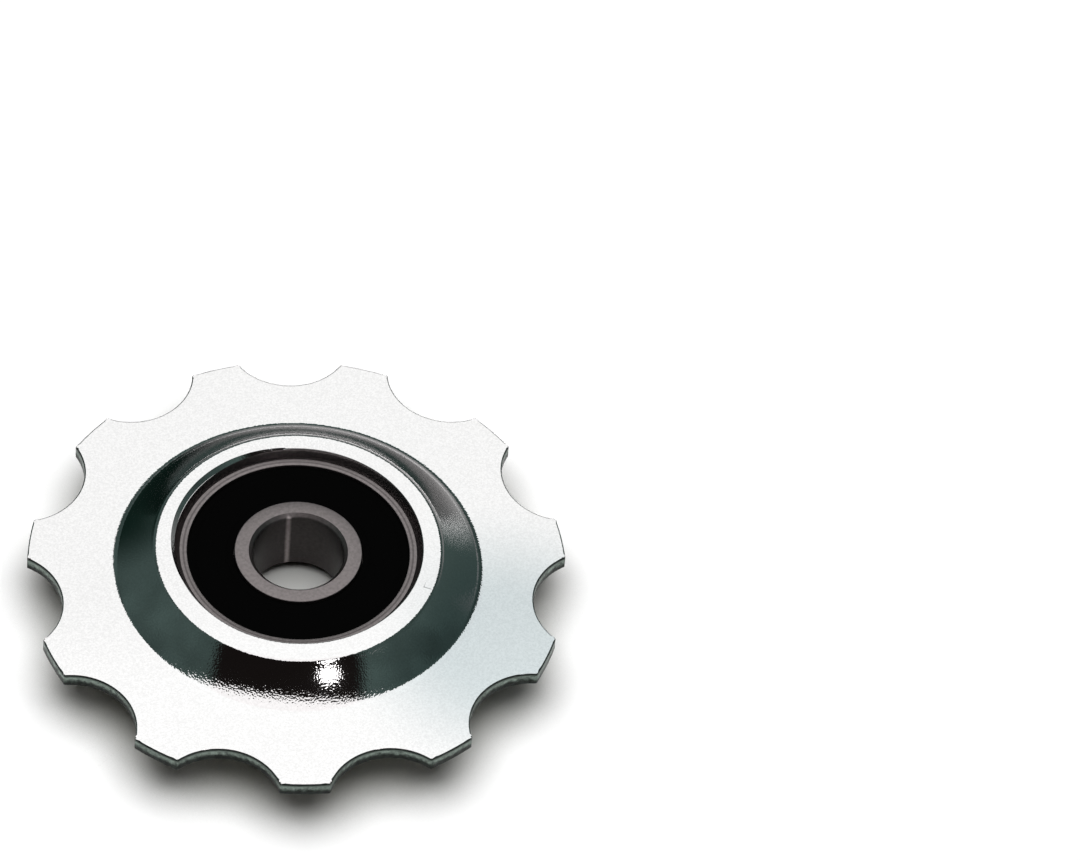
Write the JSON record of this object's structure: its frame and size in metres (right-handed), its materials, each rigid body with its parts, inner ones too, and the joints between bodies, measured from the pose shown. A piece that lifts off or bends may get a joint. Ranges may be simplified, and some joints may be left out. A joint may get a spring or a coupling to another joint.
{
  "type": "derailleur jockey wheel",
  "caption": "Flat toothed steel wheel with a flared hub around a sealed ball bearing; guides and tensions a bicycle chain in a rear derailleur cage.",
  "frame": {"origin": "middle of the bearing's bore, on the spin axis", "axes": "+Z along the spin axis, out of the open side of the hub; one tooth points along -Y"},
  "size_m": [0.0414, 0.041, 0.0076],
  "materials": {
    "zinc_plated_steel": "satin zinc plating",
    "bearing_steel": "ground",
    "ball_steel": "polished",
    "cage_polyamide": "moulded",
    "seal_rubber": "matt"
  },
  "bodies": {
    "inner_ring": {"bearing_inner_ring": "bearing_steel"},
    "wheel": {"toothed_wheel": "zinc_plated_steel", "bearing_outer_ring": "bearing_steel", "seal_upper": "seal_rubber", "seal_lower": "seal_rubber"},
    "cage": {"ball_cage": "cage_polyamide"},
    "ball_1": {"ball_1": "ball_steel"},
    "ball_2": {"ball_2": "ball_steel"},
    "ball_3": {"ball_3": "ball_steel"},
    "ball_4": {"ball_4": "ball_steel"},
    "ball_5": {"ball_5": "ball_steel"},
    "ball_6": {"ball_6": "ball_steel"}
  },
  "joints": [
    {"name": "wheel_spin", "type": "hinge", "parent": "inner_ring", "child": "wheel", "pos_m": [0, 0, 0], "axis": [0, 0, 1], "continuous": true},
    {"name": "cage_spin", "type": "hinge", "parent": "inner_ring", "child": "cage", "pos_m": [0, 0, 0], "axis": [0, 0, 1], "continuous": true},
    {"name": "ball_1_spin", "type": "hinge", "parent": "cage", "child": "ball_1", "pos_m": [0, 0.0065, 0], "axis": [0, 0, 1], "continuous": true},
    {"name": "ball_2_spin", "type": "hinge", "parent": "cage", "child": "ball_2", "pos_m": [-0.00563, 0.00325, 0], "axis": [0, 0, 1], "continuous": true},
    {"name": "ball_3_spin", "type": "hinge", "parent": "cage", "child": "ball_3", "pos_m": [-0.00563, -0.00325, 0], "axis": [0, 0, 1], "continuous": true},
    {"name": "ball_4_spin", "type": "hinge", "parent": "cage", "child": "ball_4", "pos_m": [0, -0.0065, 0], "axis": [0, 0, 1], "continuous": true},
    {"name": "ball_5_spin", "type": "hinge", "parent": "cage", "child": "ball_5", "pos_m": [0.00563, -0.00325, 0], "axis": [0, 0, 1], "continuous": true},
    {"name": "ball_6_spin", "type": "hinge", "parent": "cage", "child": "ball_6", "pos_m": [0.00563, 0.00325, 0], "axis": [0, 0, 1], "continuous": true}
  ],
  "couplings": [
    {"joint": "cage_spin", "follows": "wheel_spin", "ratio": 0.63462},
    {"joint": "ball_1_spin", "follows": "wheel_spin", "ratio": 1.7225},
    {"joint": "ball_2_spin", "follows": "wheel_spin", "ratio": 1.7225},
    {"joint": "ball_3_spin", "follows": "wheel_spin", "ratio": 1.7225},
    {"joint": "ball_4_spin", "follows": "wheel_spin", "ratio": 1.7225},
    {"joint": "ball_5_spin", "follows": "wheel_spin", "ratio": 1.7225},
    {"joint": "ball_6_spin", "follows": "wheel_spin", "ratio": 1.7225}
  ]
}
